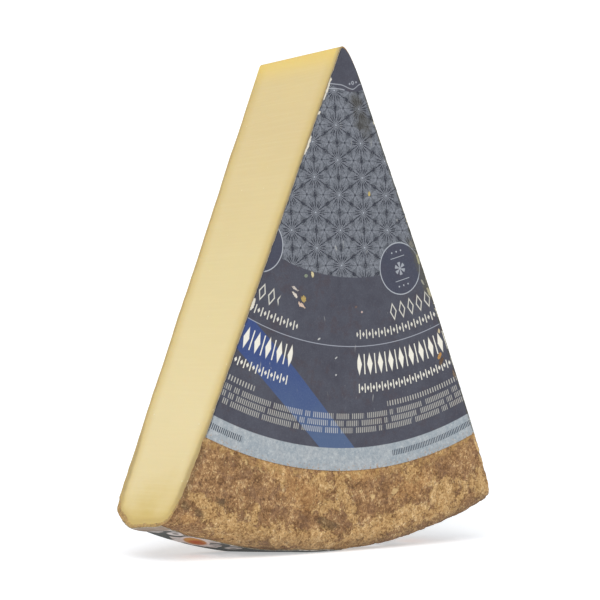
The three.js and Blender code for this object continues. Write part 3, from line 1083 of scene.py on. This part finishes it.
# Torn or soiled spots of the label: x, z, half width, half height, tilt, seed, raggedness, colour
TORN_SPOTS = [
    (-45.1, 181, 2.9, 0.9, -0.5, 11, 0.9, "#c4bab0"),
    (-45.4, 177, 3.2, 1, -0.75, 12, 0.9, "#d6ccbe"),
    (-37.6, 174, 2, 2.1, 0.6, 13, 1, "#b0985c"),
    (-39.3, 169.6, 2.6, 1.3, -0.6, 14, 0.9, "#d2b8a4"),
    (-29.8, 190.6, 1.2, 2.5, 0.3, 15, 0.7, "#cec096"),
    (-35.4, 189.6, 1.6, 1.1, -0.2, 16, 0.8, "#808876"),
    (20.4, 248.3, 1.1, 1.5, 0, 17, 0.7, "#bea864"),
    (86.5, 131.5, 1.6, 3, -0.5, 18, 0.45, "#5c4836"),
    (84.8, 135.4, 1.4, 2.6, -0.5, 18, 0.45, "#b4874b"),
    (13.5, 165.8, 0.9, 0.9, 0, 19, 0.45, "#bea8a0"),
    (8.2, 169.2, 1.2, 0.8, 0.3, 20, 0.45, "#685854"),
    (-24.4, 146.8, 1.3, 0.6, 0.5, 21, 0.45, "#bebeba"),
    (-9.7, 133.9, 1.3, 0.5, 0.6, 22, 0.45, "#babab8"),
    (-9.8, 122.2, 0.8, 0.7, 0, 23, 0.45, "#b4b4b4"),
    (65, 203.6, 0.8, 4.2, 0.4, 24, 0.8, "#a29e80"),
    (75.2, 181, 1.4, 3.8, 0.4, 25, 0.8, "#a8a286"),
    (69.4, 187.8, 0.8, 2.4, 0.7, 26, 0.45, "#969486"),
    (58.4, 215, 1.7, 3.6, 0.4, 27, 1.6, "#76736a"),
    (84.4, 153.2, 1, 1.8, 0.4, 28, 0.45, "#c4b696"),
    (98.6, 122.5, 1.2, 2.6, 0.4, 29, 0.9, "#7a6856"),
]

# Bare paper along the label's left edge: z and half length
BARE_STRIPS = ((318.6, 8), (301.6, 1.2), (278.6, 6.5), (169.5, 4))


def blot(t, x, z, wide, tall, tilt, seed, ragged):
    """1 on a ragged worn spot of the label."""
    u, v = turned(t.x - x, t.z - z, tilt)
    uneven = (t.noise(2.2, seed, detail=3, rough=0.7) - 0.5) * (2.5 * ragged)
    return (distance(u / wide, v / tall) + uneven).within(1, 0.12)


def bare_strip(t, left, rough, z, half):
    """1 on a strip of bare paper beside the left cut."""
    along = abs(t.z - z) / half
    return (left + along * 0.9 + rough * 3).rise(2.5, 1.9) * along.within(1, 0.1)


def label_wear(t, colour, reach, fibre):
    """The print's colour with fibres, scratches, stains, torn spots and a dark left edge that is partly
    painted shade, and where it is torn.
    """
    left, right = t.from_cuts()
    rough = t.noise(2.4, 5, detail=3, rough=0.8) - 0.5
    scratch = t.noise(2, 3, stretch=(1, 1, 5), warp=0.5).rise(0.70, 0.76)
    scratch = scratch * t.noise(30, 4).rise(0.5, 0.62)
    grubby = (right + rough * 9).rise(7.5, 4) * abs(t.z - 197).within(20, 6)
    patchy = t.noise(12, 6).rise(0.44, 0.56)
    chips = (rough * 6 - right * 0.6).rise(-0.3, 0.3) * right.rise(4, 2.5) * patchy
    strips = [bare_strip(t, left, rough, *place) for place in BARE_STRIPS]
    stained = t.near(LABEL_STAINS) + (t.noise(5, 7, detail=3) - 0.5) * 1.4
    crumbs = t.noise(2, 8, rough=0.7).rise(0.56, 0.66) * reach.rise(290, 296.5)
    colour = t.coats(
        colour,
        (fibre.rise(0.5, 0.72) * 0.09, "#96989c"),
        (fibre.rise(0.5, 0.28) * 0.1, "#2e2e36"),
        (scratch * 0.5, "#b0b0ac"),
        ((right + rough * 5).rise(2.4, 0.8) * 0.6, "#4a483a"),
        (grubby * 0.55, "#58564a"),
        (chips * 0.9, "#d4caa8"),
        # a dark line along the left cut: the print's worn edge, partly painted shade
        ((left + rough * 3).rise(1.6, 0.4) * 0.7, "#2c2c32"),
        *[(strip * 0.9, "#dcd5c4") for strip in strips],
        (stained.rise(-0.3, 0.7) * 0.6, "#403c30"),
        (crumbs * 0.8, "#a07c54"),
    )
    torn = 0
    for *place, tint in TORN_SPOTS:
        spot = blot(t, *place)
        colour = t.coats(colour, (spot * (fibre.rise(0.3, 0.52) * 0.4 + 0.55), tint))
        torn = spot + torn
    return colour, torn


def band_leaves(t, around):
    """The band's dark print: waves, rings, slanting strokes and a long foot."""
    u, v = (around + 125.5).wrapped(49), t.depth - 42
    wave = (u / 4.2).sine() * 9
    ring = distance((u - 8) / 8, (v + 2) / 13)
    leaves = abs(v - wave + 3).within(5, 0.8) * abs(u).within(17.5, 1) * ring.rise(1, 1.1)
    leaves = leaves.most(abs(ring - 0.85).within(0.26, 0.08)).most(ring.within(0.22, 0.08))
    slants = abs((u * 0.8 + v * 0.5).wrapped(6.5)).within(1.3, 0.5) * u.band(-17, -2, 0.6)
    leaves = leaves.most(slants * abs(v + 4).within(9, 1))
    leaves = leaves.most((v + wave * 0.4).rise(11, 12.5) * abs(u).within(20, 1))
    foot = (v + t.noise(5, 5) * 10 + 24).rise(0, 1.5) * abs(around + 18).within(46, 2)
    return leaves.most(foot)


def band_material():
    """The worn band: pinkish white with bold dark green leaf shapes and an orange oval."""
    t = Paint("band_print", 0.7)
    around = t.x.direction(APEX_Z - t.z) * WHEEL_RADIUS
    fibre = t.noise(1.5, 1, detail=3, rough=0.8)
    u, v = (around + 97).wrapped(194), t.depth - 45.5
    long, wide = turned(u, v, radians(50))
    oval = distance(long / 12.5, wide / 7.5)
    dirt = t.noise(5, 4, detail=4, rough=0.75).rise(0.52, 0.68)
    worn_end = (around + (t.noise(6, 6) - 0.5) * 10).rise(-134, -139)
    colour = t.coats(
        t.ramp(t.noise(9, 2, detail=4), (0.3, "#b2a6a0"), (0.7, "#d2cbc8")),
        (band_leaves(t, around) * 0.92, "#2a3432"),
        (oval.within(1.35, 0.06), "#cabab4"),
        (oval.within(1.05, 0.1), "#a8763c"),
        ((oval - u * 0.03).within(0.68, 0.35), "#a64e1a"),
        (oval.within(0.95, 0.15) * u.rise(0, -6) * 0.6, "#c48c40"),
        (dirt * 0.5, "#846a52"),
        (worn_end * 0.8, "#7e6a54"),
    )
    return t.finish(colour, fibre * 0.15 + dirt * 0.1)


def paper_edge_material():
    """Bare paper at the edges and the backs of the label and the band."""
    t = Paint("paper_edge", 0.85)
    fibre = t.noise(1.6, 1)
    colour = t.ramp(fibre, (0.35, "#968c7a"), (0.65, "#cec6b4"))
    return t.finish(colour, t.noise(0.8, 2) * 0.1)


def floor_material():
    """White sheet, lit a little from within so that it stays white to the horizon."""
    t = Paint("floor_sheet", 0.9, 0)
    t.shader.inputs["Emission Color"].default_value = WHITE
    t.shader.inputs["Emission Strength"].default_value = FLOOR_GLOW
    return t.finish(t.ramp(t.noise(400, 1), (0.3, "#eef2f8"), (0.7, "#f2f6fb")))


def add_cheese():
    points, faces, materials, gaps = cheese_mesh()
    piece = add_piece("cheese", points, faces, [paste_material(), rind_material()], materials)
    layer = piece.data.attributes.new("rind_gap", "FLOAT", "POINT")
    layer.data.foreach_set("value", gaps.astype(np.float32))
    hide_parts("cheese_wedge")


def add_paper(name, slab, print_material):
    """A sheet of paper with its print on the front."""
    points, front, rest = slab
    face_materials = [0] * len(front) + [1] * len(rest)
    materials = [print_material, paper_edge_material()]
    return add_piece(name, points, front + rest, materials, face_materials)


def add_label():
    piece = add_paper("label", label_mesh(), label_material())
    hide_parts("paper_label")


def add_band():
    piece = add_paper("band", band_mesh(), band_material())
    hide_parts("heel_band")


def add_floor():
    """A wide pale sheet under everything."""
    bpy.ops.mesh.primitive_plane_add(size=FLOOR_SIZE)
    floor = bpy.context.object
    floor.name = "floor"
    floor.data.materials.append(floor_material())


def add_sun(name, towards, strength, spread):
    """A soft distant light that comes from that direction."""
    lamp = bpy.data.lights.new(name, "SUN")
    lamp.energy = strength
    lamp.angle = radians(spread)
    light = new_object(name, lamp)
    light.rotation_euler = Vector(towards).to_track_quat("Z", "Y").to_euler()


def add_world():
    """Even light from all round; the camera itself sees a brighter white."""
    world = bpy.data.worlds.new("studio")
    scene.world = world
    world.use_nodes = True
    nodes, links = world.node_tree.nodes, world.node_tree.links
    light, white = nodes["Background"], nodes.new("ShaderNodeBackground")
    for node, strength in ((light, SKY_LIGHT), (white, BACKDROP)):
        node.inputs["Color"].default_value = WHITE
        node.inputs["Strength"].default_value = strength
    path = nodes.new("ShaderNodeLightPath")
    either = nodes.new("ShaderNodeMixShader")
    links.new(path.outputs["Is Camera Ray"], either.inputs[0])
    links.new(light.outputs[0], either.inputs[1])
    links.new(white.outputs[0], either.inputs[2])
    links.new(either.outputs[0], nodes["World Output"].inputs["Surface"])


def add_camera():
    """The photo's camera: low, to the left of the label, with a long lens."""
    camera = bpy.data.cameras.new("camera")
    camera.lens = CAMERA_LENS
    camera.sensor_width = SENSOR_WIDTH
    holder = new_object("camera", camera)
    holder.location = in_frame(np.array(CAMERA_PLACE))
    holder.rotation_euler = [radians(a) for a in CAMERA_TURN]
    scene.camera = holder


add_camera()
add_cheese()
add_label()
add_band()
add_floor()
add_sun("key_light", (-0.60, -0.60, 0.62), 1.85, 35)
add_sun("side_light", (0.75, -0.55, 0.35), 0.35, 60)
add_world()
scene.view_settings.view_transform = "Standard"
